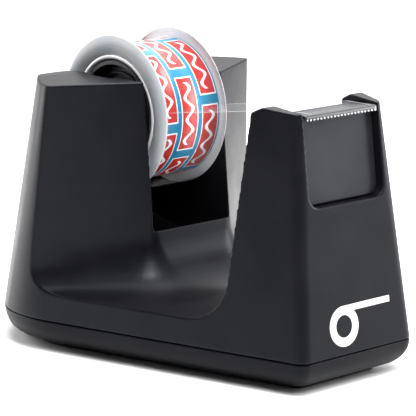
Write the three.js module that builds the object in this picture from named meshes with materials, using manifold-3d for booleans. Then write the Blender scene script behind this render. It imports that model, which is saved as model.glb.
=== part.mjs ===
// Weighted desk tape dispenser with a 19 mm roll of clear tape. Millimetres, +Z up.
// Origin: on the table, under the middle of the body. +X points to the cutter, +Y to the far side.
// The body widens from the narrow cutter tower to a round rear end, and a V-shaped valley
// between the tower and the roll well leaves room for the fingers.

import * as THREE from 'three';
import { mergeVertices } from 'three/addons/utils/BufferGeometryUtils.js';
import Module from 'manifold-3d';

const wasm = await Module();
wasm.setup();

// ---------------------------------------------------------------- driving dimensions

const GAP = 0.3;                 // clearance between neighbouring pieces
const PAD_THICKNESS = 1.0;       // anti-slip pad that the dispenser stands on
const SEAM_Z = 7.6;              // joint between the base pan and the housing
const WALL = 2.2;                // housing wall

const FRONT_X = 51.8;            // front face at the seam
const FRONT_HALF = 17.5;         // half width of the front face at the seam
const SIDE_ANGLE = THREE.MathUtils.degToRad(14);   // side faces widen towards the rear
const SIDE_TURN = THREE.MathUtils.degToRad(0.0456);  // and a little more so, per millimetre up
const REAR_CENTRE_X = -14.1;     // centre of the round rear end
const REAR_RADIUS = 37.7;        // radius of the round rear end at the seam
const FRONT_DRAFT = 0.123;       // every face leans inwards as it rises, per millimetre
const FRONT_HALF_DRAFT = 0.0775;
const REAR_DRAFT = 0.161;
const REAR_ROUND_START = THREE.MathUtils.degToRad(135);  // from here on the rear end is a circle
const FRONT_CORNER = 2.4;        // blend on the two front corners
const REAR_CORNER_X = -24.0;     // where a side face ends at the seam,
const REAR_CORNER_LEAN = 0.0985; // and how much further forward it ends, per millimetre up
const REAR_CORNER = 8.0;         // blend on that corner, at the seam
const REAR_CORNER_DRAFT = 0.09;

const CHEEK_TOP_Z = 62.4;        // flat top beside the roll
const CHEEK_FALL_X = -28.0;      // behind this line the top falls away to the rear
const CHEEK_FALL_RADIUS = 43.0;
const CHEEK_FALL_TURN = 0.62;    // length of that fall, in radians
const TOWER_TOP = [               // top of the tower's shoulders from the side, rear to front
  [32.5, 60.2], [36.5, 62.2], [46.5, 61.2],
];
const TOWER_TOP_START_X = 20.0;  // inside the valley, where the cut above the tower begins

const AXLE_X = -20.0;            // the roll turns about this line
const AXLE_Z = 53.0;
const AXLE_RADIUS = 3.5;
const AXLE_HALF = 13.2;
const GROOVE_HALF = 4.0;         // groove that an axle end drops into
const GROOVE_DEPTH = 1.6;

const TAPE_HALF = 9.5;           // a 19 mm wide tape
const ROLL_RADIUS = 18.7;
const CORE_INNER = 13.0;         // a 26 mm core
const CORE_OUTER = 14.0;
const PRINT_OUTER = 14.6;
const HUB_RADIUS = CORE_INNER - GAP;
const HUB_BORE = AXLE_RADIUS + 0.3;

const WELL_HALF = 12.0;          // half width of the roll well
const WELL_RADIUS = 30.5;        // its floor is round about the axle
const WELL_SIDE_WALL = 3.4;

const VALLEY_FLOOR_Z = 14.0;
const VALLEY_REAR_X = -6.3;      // front of the well walls at the top of the cheeks
const VALLEY_REAR_LEAN = 0.095;  // and how much further forward they stand, per millimetre down
const VALLEY_FRONT_X = 34.1;     // rear face of the tower at the top
const VALLEY_FRONT_LEAN = 0.07;
const VALLEY_REAR_FILLET = 12.0;
const VALLEY_FRONT_FILLET = 9.0;
const VALLEY_SIDE_FILLET = 6.0;
const DIAGONAL_LEAD = 1.0;       // a cheek's diagonal face ends this far before the side's corner

const PLATFORM_Z = 60.4;         // where the tape end rests
const PLATFORM_X = 38.0;
const CHANNEL_ROUNDING = 3.6;    // of the tape channel's rear edge
const CHANNEL_START = 0.6;       // how far behind the platform that rounding is centred
const RECESS_HALF = 11.7;
const RECESS_BOTTOM_Z = 40.7;
const RECESS_DEPTH = 2.0;
const RECESS_CORNER = 3.0;
const CARRIER_THICKNESS = 2.0;

const BLADE_LIFT = 0.1;          // clearance between the platform and the blade
const BLADE_TEETH = 21;
const BLADE_PITCH = 1.06;
const BLADE_THICKNESS = 0.4;
const BLADE_DEPTH = 2.6;
const BLADE_LIP = 1.5;
const TOOTH_DEPTH = 0.7;
const LIP_TILT = THREE.MathUtils.degToRad(20);

const BASE_FILLET = 6.0;
const BASE_FLOOR = 2.2;
const BASE_WALL = 2.6;
const BASE_BOTTOM = PAD_THICKNESS + 0.1;
const PAD_INSET = 0.6;           // the pad stops short of the base's rounding
const BASE_SCREWS = [[12, 17], [12, -17], [-33, 20], [-33, -20]];
const BOSS_RADIUS = 3.5;
const SCREW_RADIUS = 1.4;
const SCREW_HEAD_RADIUS = 2.7;
const SCREW_HEAD_HEIGHT = 1.6;
const SCREW_TIP_Z = 11.4;
const BOSS_TOP_Z = 44.0;

const BALLAST_Z = BASE_BOTTOM + BASE_FLOOR + GAP;
const REAR_BALLAST = { x: [-37, -8], half: 15.5, top: 16 };    // under the roll well
const FRONT_BALLAST = { x: [34.8, 44], half: 10.5, top: 28 };  // inside the tower

const CARRIER_SCREWS = [-6, 6];  // they hold the carrier from inside the tower, at this height
const CARRIER_SCREW_Z = 50.0;
const CARRIER_STUD_RADIUS = 2.3;
const CARRIER_HEAD_RADIUS = 3.6;
const CARRIER_SCREW_END = -1.5;
const PANEL_LEAN = Math.atan(FRONT_DRAFT);
const STUD_END = CARRIER_THICKNESS + GAP + WALL + 0.2;   // behind the recess panel's face

const TALL_Z = 80;               // well above and beyond the object, for the shapes that cut it
const BODY_BLANK_Z = 70;
const FAR_X = 70;
const FAR_Y = 60;

// ---------------------------------------------------------------- colours

const plastic = (color, roughness) => new THREE.MeshStandardMaterial({ color, roughness, metalness: 0 });
const metal = (color, roughness) => new THREE.MeshStandardMaterial({ color, roughness, metalness: 1 });
const CHARCOAL = plastic(0x2b2c30, 0.5);
const CHARCOAL_PANEL = plastic(0x35363b, 0.45);
const BLACK = plastic(0x17171a, 0.55);
const RUBBER = plastic(0x1b1b1d, 0.9);
const STEEL = metal(0xd6d8dc, 0.2);
const RAW_STEEL = metal(0x7d7f83, 0.5);
const WHITE = plastic(0xeeeeee, 0.6);
const PRINT = plastic(0x0093c4, 0.45);
const FILM = new THREE.MeshStandardMaterial({
  color: 0xdfe3ea, roughness: 0.25, metalness: 0, transparent: true, opacity: 0.6,
});

// ---------------------------------------------------------------- solids

/** Turns a closed three.js geometry into a solid that can be joined and cut. */
function solid(geometry) {
  const bare = geometry.index ? geometry.toNonIndexed() : geometry.clone();
  bare.deleteAttribute('normal');
  bare.deleteAttribute('uv');
  const merged = mergeVertices(bare, 1e-4);
  return new wasm.Manifold(new wasm.Mesh({
    numProp: 3,
    vertProperties: new Float32Array(merged.attributes.position.array),
    triVerts: new Uint32Array(merged.index.array),
  }));
}

/** Turns a solid back into a geometry with flat faces. */
function geometryOf(body) {
  const mesh = body.getMesh();
  const geometry = new THREE.BufferGeometry();
  geometry.setAttribute('position', new THREE.BufferAttribute(new Float32Array(mesh.vertProperties), 3));
  geometry.setIndex(new THREE.BufferAttribute(new Uint32Array(mesh.triVerts), 1));
  geometry.computeVertexNormals();
  return geometry;
}

/** Turns a shape's own X, Y and depth into Y, Z and X. */
const DEPTH_ALONG_X = new THREE.Matrix4().set(0, 0, 1, 0, 1, 0, 0, 0, 0, 1, 0, 0, 0, 0, 0, 1);

const vec = (x, y) => new THREE.Vector2(x, y);
const union = (first, ...rest) => rest.reduce((sum, body) => sum.add(body), first);
const cut = (first, ...rest) => rest.reduce((left, body) => left.subtract(body), first);

/** Leaves out the pieces of a hollow that don't reach the open bottom of the housing. */
function openHollow(hollow) {
  const pieces = hollow.decompose().filter((piece) => piece.boundingBox().min[2] < SEAM_Z);
  return union(...pieces);
}

/** A prism along Y whose outline is given in X and Z. */
function prismY(outline, low, high) {
  const shape = new THREE.Shape(outline.map(([x, z]) => vec(x, z)));
  const geometry = new THREE.ExtrudeGeometry(shape, { depth: high - low, bevelEnabled: false });
  geometry.rotateX(Math.PI / 2);
  geometry.translate(0, high, 0);
  return solid(geometry);
}

/** A prism along X whose outline is given as a shape in Y and Z. */
function prismX(shape, low, high) {
  const settings = { depth: high - low, bevelEnabled: false, curveSegments: 6 };
  const geometry = new THREE.ExtrudeGeometry(shape, settings);
  geometry.applyMatrix4(DEPTH_ALONG_X);
  geometry.translate(low, 0, 0);
  return solid(geometry);
}

function box(x0, x1, y0, y1, z0, z1) {
  const geometry = new THREE.BoxGeometry(x1 - x0, y1 - y0, z1 - z0);
  geometry.translate((x0 + x1) / 2, (y0 + y1) / 2, (z0 + z1) / 2);
  return solid(geometry);
}

/** An upright cylinder or cone. */
function post(x, y, z0, z1, radius, topRadius = radius, segments = 24) {
  const startAngle = 0.03;
  const geometry = new THREE.CylinderGeometry(
    topRadius, radius, z1 - z0, segments, 1, false, startAngle,
  );
  geometry.rotateX(Math.PI / 2);
  geometry.translate(x, y, (z0 + z1) / 2);
  return solid(geometry);
}

/** A body turned about a line square to the front panel; profile is [radius, distance before it]. */
function throughPanel(profile, y) {
  const geometry = new THREE.LatheGeometry(profile.map(([radius, x]) => vec(radius, x)), 24);
  geometry.rotateZ(-Math.PI / 2);
  geometry.rotateY(-PANEL_LEAN);
  geometry.translate(frontAt(CARRIER_SCREW_Z) - RECESS_DEPTH, y, CARRIER_SCREW_Z);
  return solid(geometry);
}

const rod = (radius, x0, x1, y) => throughPanel([[0, x0], [radius, x0], [radius, x1], [0, x1]], y);

/** A body turned about the axle: profile points are [radius, y], in order round the section. */
function turned(profile, segments = 48) {
  const closed = [...profile, profile[0]].map(([radius, y]) => vec(radius, y));
  const geometry = new THREE.LatheGeometry(closed, segments);
  geometry.translate(AXLE_X, 0, AXLE_Z);
  return solid(geometry);
}

/** A closed skin through outlines of equal length, stacked upwards: levels are [z, outline]. */
function stack(levels) {
  const count = levels[0][1].length;
  const positions = levels.flatMap(([z, outline]) => outline.flatMap((p) => [p.x, p.y, z]));
  const index = [];
  for (let level = 0; level + 1 < levels.length; level += 1) {
    for (let i = 0; i < count; i += 1) {
      const a = level * count + i;
      const b = level * count + ((i + 1) % count);
      index.push(a, b, b + count, a, b + count, a + count);
    }
  }
  const top = (levels.length - 1) * count;
  for (const [a, b, c] of THREE.ShapeUtils.triangulateShape(levels[0][1], [])) index.push(c, b, a);
  for (const [a, b, c] of THREE.ShapeUtils.triangulateShape(levels.at(-1)[1], [])) {
    index.push(top + a, top + b, top + c);
  }
  const geometry = new THREE.BufferGeometry();
  geometry.setAttribute('position', new THREE.Float32BufferAttribute(positions, 3));
  geometry.setIndex(index);
  return solid(geometry);
}

/** How far a concave or convex quarter-round stands in from its wall, at a height above its foot. */
function quarterRound(radius, height) {
  const left = Math.max(radius - height, 0);
  return radius - Math.sqrt(radius * radius - left * left);
}

// ---------------------------------------------------------------- the body's plan

const frontAt = (z) => FRONT_X - FRONT_DRAFT * (z - SEAM_Z);

/** The faces of the body at one height, moved inwards by inset. */
function bodyFaces(z, inset = 0) {
  const rise = z - SEAM_Z;
  const angle = SIDE_ANGLE + SIDE_TURN * rise;
  const normal = vec(Math.sin(angle), Math.cos(angle));
  const along = vec(-normal.y, normal.x);
  const reach = normal.dot(vec(frontAt(z), FRONT_HALF - FRONT_HALF_DRAFT * rise)) - inset;
  const radius = REAR_RADIUS - REAR_DRAFT * rise - inset;
  const sideAt = (x) => vec(x, (reach - normal.x * x) / normal.y);
  const rearAt = (turn) => vec(REAR_CENTRE_X + radius * Math.cos(turn), radius * Math.sin(turn));
  const corner = sideAt(REAR_CORNER_X + REAR_CORNER_LEAN * rise);
  return { along, radius, sideAt, rearAt, corner };
}

/** Curve from the rear corner of a side face to the round rear end, which it joins smoothly. */
function haunch({ radius, rearAt, corner }) {
  const joint = rearAt(REAR_ROUND_START);
  const forward = vec(Math.sin(REAR_ROUND_START), -Math.cos(REAR_ROUND_START));
  const cornerTurn = Math.atan2(corner.y, corner.x - REAR_CENTRE_X);
  const pull = radius * Math.tan((REAR_ROUND_START - cornerTurn) / 2);
  return new THREE.QuadraticBezierCurve(corner, joint.clone().addScaledVector(forward, pull), joint);
}

/** Outline of the body at one height, moved inwards by inset, anticlockwise from the front. */
function bodyOutline(z, inset = 0) {
  const faces = bodyFaces(z, inset);
  const { along, radius, sideAt, rearAt, corner } = faces;
  const front = frontAt(z) - inset;
  const frontCorner = sideAt(front);
  const rounding = REAR_CORNER - REAR_CORNER_DRAFT * (z - SEAM_Z);
  const curve = haunch(faces);
  const curveStart = rounding / curve.getLength();

  const half = [
    ...new THREE.QuadraticBezierCurve(
      vec(front, frontCorner.y - FRONT_CORNER), frontCorner,
      frontCorner.clone().addScaledVector(along, FRONT_CORNER),
    ).getPoints(4),
    ...new THREE.QuadraticBezierCurve(
      corner.clone().addScaledVector(along, -rounding), corner, curve.getPoint(curveStart),
    ).getPoints(6),
  ];
  const curveSteps = 3;
  for (let i = 1; i <= curveSteps; i += 1) {
    half.push(curve.getPoint(curveStart + ((1 - curveStart) * i) / curveSteps));
  }
  const rearSteps = 6;
  for (let i = 1; i < rearSteps; i += 1) {
    half.push(rearAt(REAR_ROUND_START + ((Math.PI - REAR_ROUND_START) * i) / rearSteps));
  }
  const mirrored = half.map((p) => vec(p.x, -p.y)).reverse();
  return [...half, vec(REAR_CENTRE_X - radius, 0), ...mirrored];
}

/** The body from one height to another, with its top cut to the profile of the cheeks and the tower. */
function bodySolid(bottom, inset) {
  const heights = [bottom, 20, 34, 48, BODY_BLANK_Z];
  const tall = stack(heights.map((z) => [z, bodyOutline(z, inset)]));
  const steps = 6;
  const fall = [];
  for (let i = steps; i >= 0; i -= 1) {
    const angle = (i / steps) * CHEEK_FALL_TURN;
    fall.push([
      CHEEK_FALL_X - CHEEK_FALL_RADIUS * Math.sin(angle),
      CHEEK_TOP_Z - inset - CHEEK_FALL_RADIUS * (1 - Math.cos(angle)),
    ]);
  }
  const tower = TOWER_TOP.map(([x, z]) => [x, z - inset]);
  const above = prismY([
    [-FAR_X, TALL_Z], [-FAR_X, fall[0][1]], ...fall,
    [TOWER_TOP_START_X, CHEEK_TOP_Z - inset], ...tower, [FAR_X, tower.at(-1)[1]], [FAR_X, TALL_Z],
  ], -FAR_Y, FAR_Y);
  return cut(tall, above);
}

/** The finger valley; grow widens it by a wall's thickness. */
function valley(grow = 0) {
  const heights = [0, 0.35, 1.2, 2.6, 4.5, 7, 9, 12, 24, 40, 56];
  return stack(heights.map((height) => {
    const z = VALLEY_FLOOR_Z + height;
    const { along, corner: sideCorner } = bodyFaces(z);
    const end = sideCorner.addScaledVector(along, -DIAGONAL_LEAD);
    const middle = vec(VALLEY_REAR_X + VALLEY_REAR_LEAN * (CHEEK_TOP_Z - z), WELL_HALF);
    const way = end.clone().sub(middle).normalize();
    const offset = quarterRound(VALLEY_REAR_FILLET, height) - grow;
    const sideOffset = quarterRound(VALLEY_SIDE_FILLET, height) - grow;
    const corner = vec(middle.x + offset, middle.y + (offset * (1 - way.y)) / -way.x);
    const side = vec(end.x + sideOffset / way.y, end.y);
    const outer = corner.x + ((side.x - corner.x) * (FAR_Y - corner.y)) / (side.y - corner.y);
    const tower = VALLEY_FRONT_X - VALLEY_FRONT_LEAN * (CHEEK_TOP_Z - z)
      - quarterRound(VALLEY_FRONT_FILLET, height) + grow;
    return [z - grow, [
      vec(tower, -FAR_Y), vec(tower, FAR_Y), vec(outer, FAR_Y),
      corner, vec(corner.x, -corner.y), vec(outer, -FAR_Y),
    ]];
  }));
}

/** The roll well: a round floor about the axle, open at the top and the front. */
function well(halfWidth, radius) {
  const outline = [[AXLE_X + radius, TALL_Z], [AXLE_X - radius, TALL_Z]];
  const steps = 28;
  for (let i = 0; i <= steps; i += 1) {
    const angle = Math.PI + (Math.PI * i) / steps;
    outline.push([AXLE_X + radius * Math.cos(angle), AXLE_Z + radius * Math.sin(angle)]);
  }
  const bottomRadius = REAR_RADIUS - WALL + REAR_DRAFT * SEAM_Z;
  const topRadius = bottomRadius - REAR_DRAFT * TALL_Z;
  const rear = post(REAR_CENTRE_X, 0, 0, TALL_Z, bottomRadius, topRadius, 64);
  return prismY(outline, -halfWidth, halfWidth).intersect(rear);
}

/** Upright grooves in both well walls, open at the top, that hold the ends of the axle. */
function axleGrooves() {
  const reach = WELL_HALF + GROOVE_DEPTH;
  const seat = new THREE.CylinderGeometry(GROOVE_HALF, GROOVE_HALF, 2 * reach, 32);
  seat.translate(AXLE_X, 0, AXLE_Z);
  return union(
    solid(seat),
    box(AXLE_X - GROOVE_HALF, AXLE_X + GROOVE_HALF, -reach, reach, AXLE_Z, TALL_Z),
  );
}

// ---------------------------------------------------------------- the cutter's pocket

/** The recess seen from the front: straight sides and rounded bottom corners. */
function recessShape(margin) {
  const half = RECESS_HALF + margin;
  const low = RECESS_BOTTOM_Z - margin;
  const radius = RECESS_CORNER + margin;
  const shape = new THREE.Shape();
  shape.moveTo(half, TALL_Z);
  shape.lineTo(-half, TALL_Z);
  shape.lineTo(-half, low + radius);
  shape.absarc(-half + radius, low + radius, radius, Math.PI, 1.5 * Math.PI, false);
  shape.absarc(half - radius, low + radius, radius, 1.5 * Math.PI, 2 * Math.PI, false);
  shape.closePath();
  return shape;
}

/** Pocket for the carrier, open to the front and the top; margin grows it on every side. */
function pocket(margin = 0) {
  const back = RECESS_DEPTH + CARRIER_THICKNESS + GAP + margin;
  const shelf = PLATFORM_Z - CARRIER_THICKNESS - GAP - margin;
  const low = RECESS_BOTTOM_Z - 2 * RECESS_CORNER;
  return prismX(recessShape(margin), 0, FAR_X).intersect(prismY([
    [frontAt(low) - back, low], [FAR_X, low], [FAR_X, TALL_Z], [PLATFORM_X - margin, TALL_Z],
    [PLATFORM_X - margin, shelf], [frontAt(shelf) - back, shelf],
  ], -FAR_Y, FAR_Y));
}

/** Channel for the tape between the tower's two shoulders, rounded over at the rear. */
function tapeChannel() {
  const radius = CHANNEL_ROUNDING;
  const steps = 5;
  const outline = [[TOWER_TOP_START_X, TALL_Z], [TOWER_TOP_START_X, PLATFORM_Z - 2 * radius]];
  for (let i = 0; i <= steps; i += 1) {
    const angle = Math.PI - (i / steps) * (Math.PI / 2);
    outline.push([
      PLATFORM_X - CHANNEL_START + radius * Math.cos(angle),
      PLATFORM_Z - radius + radius * Math.sin(angle),
    ]);
  }
  outline.push([FAR_X, PLATFORM_Z], [FAR_X, TALL_Z]);
  return prismY(outline, -RECESS_HALF, RECESS_HALF);
}

// ---------------------------------------------------------------- fixed pieces

function housing() {
  const outside = bodySolid(SEAM_Z, 0);
  const side = RECESS_HALF + WALL;
  const roof = box(
    PLATFORM_X - 8, FAR_X, -side, side, PLATFORM_Z - CHANNEL_ROUNDING - WALL - 0.4, TALL_Z,
  );
  const inside = openHollow(cut(
    bodySolid(SEAM_Z - 3, WALL),
    valley(WALL),
    well(WELL_HALF + WELL_SIDE_WALL, WELL_RADIUS + WALL),
    pocket(WALL),
    roof,
  ));
  const bosses = BASE_SCREWS.map(
    ([x, y]) => post(x, y, SEAM_Z, BOSS_TOP_Z, BOSS_RADIUS).intersect(outside),
  );
  const holes = BASE_SCREWS.map(
    ([x, y]) => post(x, y, SEAM_Z - 1, SCREW_TIP_Z + GAP, SCREW_RADIUS + GAP),
  );
  const studHoles = CARRIER_SCREWS.map((y) => rod(CARRIER_STUD_RADIUS + GAP, -2 * STUD_END, 2, y));
  return cut(
    union(cut(outside, inside), ...bosses),
    ...holes,
    ...studHoles,
    valley(),
    well(WELL_HALF, WELL_RADIUS),
    axleGrooves(),
    pocket(),
    tapeChannel(),
  );
}

function basePan() {
  const bottom = BASE_BOTTOM;
  const top = SEAM_Z - GAP;
  const heights = [0, 0.5, 1.4, 2.8, 4.4, BASE_FILLET];
  const shell = stack([
    ...heights.map((height) => [
      bottom + height, bodyOutline(SEAM_Z, quarterRound(BASE_FILLET, height)),
    ]),
    [top, bodyOutline(SEAM_Z)],
  ]);
  const tray = stack([
    [bottom + BASE_FLOOR, bodyOutline(SEAM_Z, BASE_FILLET)],
    [SEAM_Z, bodyOutline(SEAM_Z, BASE_WALL)],
  ]);
  const posts = BASE_SCREWS.map(([x, y]) => post(x, y, bottom, top, BOSS_RADIUS));
  const holes = BASE_SCREWS.map(([x, y]) => post(x, y, 0, SEAM_Z, SCREW_RADIUS + GAP));
  const counterbores = BASE_SCREWS.map(
    ([x, y]) => post(x, y, 0, bottom + SCREW_HEAD_HEIGHT + 0.2, SCREW_HEAD_RADIUS + GAP),
  );
  return cut(union(cut(shell, tray), ...posts), ...holes, ...counterbores);
}

function footPad() {
  const outline = bodyOutline(SEAM_Z, BASE_FILLET + PAD_INSET);
  return stack([[0, outline], [PAD_THICKNESS, outline]]);
}

/** A weight that stands in the base pan. */
function ballast({ x, half, top }) {
  return box(x[0], x[1], -half, half, BALLAST_Z, top);
}

/** A pan-head screw that points up, about Z. */
function screw([x, y]) {
  const head = PAD_THICKNESS + 0.3;
  const neck = head + SCREW_HEAD_HEIGHT;
  const geometry = new THREE.LatheGeometry([
    vec(0, head), vec(SCREW_HEAD_RADIUS - 0.5, head), vec(SCREW_HEAD_RADIUS, head + 0.6),
    vec(SCREW_HEAD_RADIUS, neck), vec(SCREW_RADIUS, neck), vec(SCREW_RADIUS, SCREW_TIP_Z - 1),
    vec(0.5, SCREW_TIP_Z), vec(0, SCREW_TIP_Z),
  ], 20);
  geometry.rotateX(Math.PI / 2);
  geometry.translate(x, y, 0);
  return solid(geometry);
}

/** L-shaped insert: the recessed front panel and the platform that the tape end rests on. */
function cutterCarrier() {
  const low = RECESS_BOTTOM_Z + GAP;
  const under = PLATFORM_Z - CARRIER_THICKNESS;
  const face = (z) => frontAt(z) - RECESS_DEPTH;
  const section = prismY([
    [face(low) - CARRIER_THICKNESS, low], [face(low), low], [face(PLATFORM_Z), PLATFORM_Z],
    [PLATFORM_X + GAP, PLATFORM_Z], [PLATFORM_X + GAP, under],
    [face(under) - CARRIER_THICKNESS, under],
  ], -FAR_Y, FAR_Y);
  const plate = prismX(recessShape(-GAP), 0, FAR_X).intersect(section);
  const studs = CARRIER_SCREWS.map((y) => rod(CARRIER_STUD_RADIUS, -STUD_END, -1, y));
  const bores = CARRIER_SCREWS.map((y) => rod(SCREW_RADIUS, -STUD_END - 1, -1, y));
  return cut(union(plate, ...studs), ...bores);
}

/** A flanged screw that points forward, into one of the carrier's studs. */
function carrierScrew(y) {
  const head = -STUD_END - GAP;
  const shank = SCREW_RADIUS - GAP;
  return throughPanel([
    [0, head - SCREW_HEAD_HEIGHT], [SCREW_HEAD_RADIUS, head - SCREW_HEAD_HEIGHT],
    [CARRIER_HEAD_RADIUS, head - 0.6], [CARRIER_HEAD_RADIUS, head],
    [shank, head], [shank, CARRIER_SCREW_END], [0, CARRIER_SCREW_END],
  ], y);
}

/** Steel strip on the platform's front edge with a toothed lip that leans over the recess. */
function cutterBlade() {
  const half = (BLADE_TEETH * BLADE_PITCH) / 2;
  const rear = frontAt(PLATFORM_Z) - BLADE_DEPTH;
  const low = PLATFORM_Z + BLADE_LIFT;
  const strip = box(rear, rear + BLADE_DEPTH, -half, half, low, low + BLADE_THICKNESS);
  const edge = new THREE.Shape();
  edge.moveTo(half, 0);
  edge.lineTo(-half, 0);
  for (let i = 0; i < BLADE_TEETH; i += 1) {
    const y = -half + i * BLADE_PITCH;
    edge.lineTo(y, TOOTH_DEPTH - BLADE_LIP);
    edge.lineTo(y + BLADE_PITCH / 2, -BLADE_LIP);
  }
  edge.lineTo(half, TOOTH_DEPTH - BLADE_LIP);
  edge.closePath();
  const lip = new THREE.ExtrudeGeometry(edge, { depth: BLADE_THICKNESS, bevelEnabled: false });
  lip.applyMatrix4(DEPTH_ALONG_X);
  lip.translate(-BLADE_THICKNESS, 0, 0);
  lip.rotateY(-LIP_TILT);
  lip.translate(rear + BLADE_DEPTH, 0, low + BLADE_THICKNESS);
  return union(strip, solid(lip));
}

/** The loose end of the tape, from the front of the roll up to the platform and over the blade. */
function tapeTail() {
  const thickness = 0.15;
  const start = [AXLE_X + ROLL_RADIUS + 0.4, AXLE_Z + 2.5];
  const rest = PLATFORM_Z + BLADE_LIFT + BLADE_THICKNESS + 0.15;
  const path = [start, [PLATFORM_X, rest], [frontAt(PLATFORM_Z) - 0.2, rest]];
  const raised = path.map(([x, z]) => [x, z + thickness]).reverse();
  return prismY([...path, ...raised], -TAPE_HALF, TAPE_HALF);
}

// ---------------------------------------------------------------- the roll and what it turns on

function axle() {
  return turned([
    [0, -AXLE_HALF], [AXLE_RADIUS - 0.5, -AXLE_HALF], [AXLE_RADIUS, -AXLE_HALF + 0.5],
    [AXLE_RADIUS, AXLE_HALF - 0.5], [AXLE_RADIUS - 0.5, AXLE_HALF], [0, AXLE_HALF],
  ], 32);
}

/** Half of the hub: a dished disc with a bearing sleeve, side is -1 for near and 1 for far. */
function hubHalf(side) {
  const face = side * (TAPE_HALF - 0.2);
  const web = side * (TAPE_HALF - 2.4);
  const middle = side * 0.15;
  const profile = [
    [HUB_BORE, middle], [HUB_BORE + 2, middle], [HUB_BORE + 2, web - side * 1.6],
    [HUB_RADIUS - 1.6, web - side * 1.6], [HUB_RADIUS - 1.6, middle], [HUB_RADIUS, middle],
    [HUB_RADIUS, face], [HUB_RADIUS - 1.6, face], [HUB_RADIUS - 2.2, web],
    [HUB_BORE + 2, web], [HUB_BORE + 1.6, face], [HUB_BORE, face],
  ];
  return turned(side > 0 ? profile : profile.reverse());
}

function ring(inner, outer, half) {
  return turned([[inner, -half], [outer, -half], [outer, half], [inner, half]], 64);
}

// ---------------------------------------------------------------- assembly

const assembly = new THREE.Group();
assembly.name = 'tape_dispenser';

function place(parent, name, body, material) {
  const mesh = new THREE.Mesh(geometryOf(body), material);
  mesh.name = name;
  parent.add(mesh);
}

const stand = new THREE.Group();
place(stand, 'housing', housing(), CHARCOAL);
place(stand, 'base_pan', basePan(), CHARCOAL);
place(stand, 'foot_pad', footPad(), RUBBER);
place(stand, 'ballast_rear', ballast(REAR_BALLAST), RAW_STEEL);
place(stand, 'ballast_front', ballast(FRONT_BALLAST), RAW_STEEL);
BASE_SCREWS.forEach((position, i) => {
  place(stand, `base_screw_${i + 1}`, screw(position), STEEL);
});
assembly.add(stand);

const cutter = new THREE.Group();
place(cutter, 'cutter_carrier', cutterCarrier(), CHARCOAL_PANEL);
place(cutter, 'cutter_blade', cutterBlade(), STEEL);
place(cutter, 'tape_tail', tapeTail(), FILM);
CARRIER_SCREWS.forEach((y, i) => {
  place(cutter, `carrier_screw_${i + 1}`, carrierScrew(y), STEEL);
});
assembly.add(cutter);

const roll = new THREE.Group();
place(roll, 'axle', axle(), BLACK);
place(roll, 'hub_near', hubHalf(-1), BLACK);
place(roll, 'hub_far', hubHalf(1), BLACK);
place(roll, 'core_ring', ring(CORE_INNER, CORE_OUTER, TAPE_HALF), WHITE);
place(roll, 'printed_sleeve', ring(CORE_OUTER + 0.1, PRINT_OUTER, TAPE_HALF - 0.2), PRINT);
place(roll, 'tape_winding', ring(PRINT_OUTER + 0.1, ROLL_RADIUS, TAPE_HALF), FILM);
assembly.add(roll);

export default assembly;
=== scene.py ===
"""Desk tape dispenser with a roll of clear tape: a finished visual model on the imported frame.

Lengths in the classes are millimetres in the frame's own axes: +X towards the cutter, +Y to the
far side, +Z up, with the origin on the table. Meshes are brought to metres when a piece is made.
"""

import logging
import math
from dataclasses import dataclass
from enum import Enum
from typing import Iterable, Sequence

import bmesh
import bpy
from bmesh.types import BMesh, BMEdge, BMVert
from mathutils import Matrix, Vector


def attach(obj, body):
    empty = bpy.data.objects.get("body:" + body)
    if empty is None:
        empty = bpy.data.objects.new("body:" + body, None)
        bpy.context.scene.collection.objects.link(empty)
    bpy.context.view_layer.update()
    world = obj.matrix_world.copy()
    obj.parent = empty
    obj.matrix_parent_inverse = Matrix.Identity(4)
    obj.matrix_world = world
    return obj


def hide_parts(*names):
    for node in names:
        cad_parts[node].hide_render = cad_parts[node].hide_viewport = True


LOG = logging.getLogger("tape_dispenser")
MM = 0.001
TRIANGLE_LIMIT = 190_000
FINE_TURN = 128
FLAT_FACE_WEIGHT = 80

Point = tuple[float, float]
Corner = tuple[float, float, float]
Outline = list[Point]


class Body(str, Enum):
    """The moving bodies that the pieces ride on."""

    STAND = "stand"
    AXLE = "axle"
    ROLL = "roll"


class Cut(str, Enum):
    """What a boolean does with its second operand."""

    REMOVE = "DIFFERENCE"
    KEEP_COMMON = "INTERSECT"
    JOIN = "UNION"


# ------------------------------------------------------------------ shaping helpers


def quarter_round(radius: float, height: float) -> float:
    """Gives how far a quarter-round stands in from its wall.

    Args:
        radius: Radius of the rounding.
        height: Height above the foot of the rounding.

    Returns:
        The distance from the wall, zero above the rounding.
    """
    left = max(radius - height, 0.0)
    return radius - math.sqrt(radius * radius - left * left)


def rounding_heights(radius: float, steps: int) -> list[float]:
    """Gives heights up a quarter-round, closest together at its foot."""
    return [radius * (1 - math.cos(math.pi / 2 * i / steps)) for i in range(steps + 1)]


def arc(centre: Point, radius: float, start: float, end: float, steps: int) -> Outline:
    """Gives points on a circular arc.

    Args:
        centre: Middle of the circle.
        radius: Its radius.
        start: First angle in degrees.
        end: Last angle in degrees.
        steps: Number of equal steps between the two.

    Returns:
        The points, both ends included.
    """
    angles = (math.radians(start + (end - start) * i / steps) for i in range(steps + 1))
    return [(centre[0] + radius * math.cos(a), centre[1] + radius * math.sin(a)) for a in angles]


def blend(start: Point, corner: Point, end: Point, steps: int) -> Outline:
    """Rounds a corner with a quadratic curve.

    Args:
        start: Point on the first side.
        corner: The sharp corner.
        end: Point on the second side.
        steps: Number of steps along the curve.

    Returns:
        The points, both ends included.
    """
    points = []
    for i in range(steps + 1):
        t = i / steps
        weights = ((1 - t) ** 2, 2 * t * (1 - t), t * t)
        points.append(tuple(
            sum(w * p[axis] for w, p in zip(weights, (start, corner, end))) for axis in (0, 1)
        ))
    return points


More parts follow.
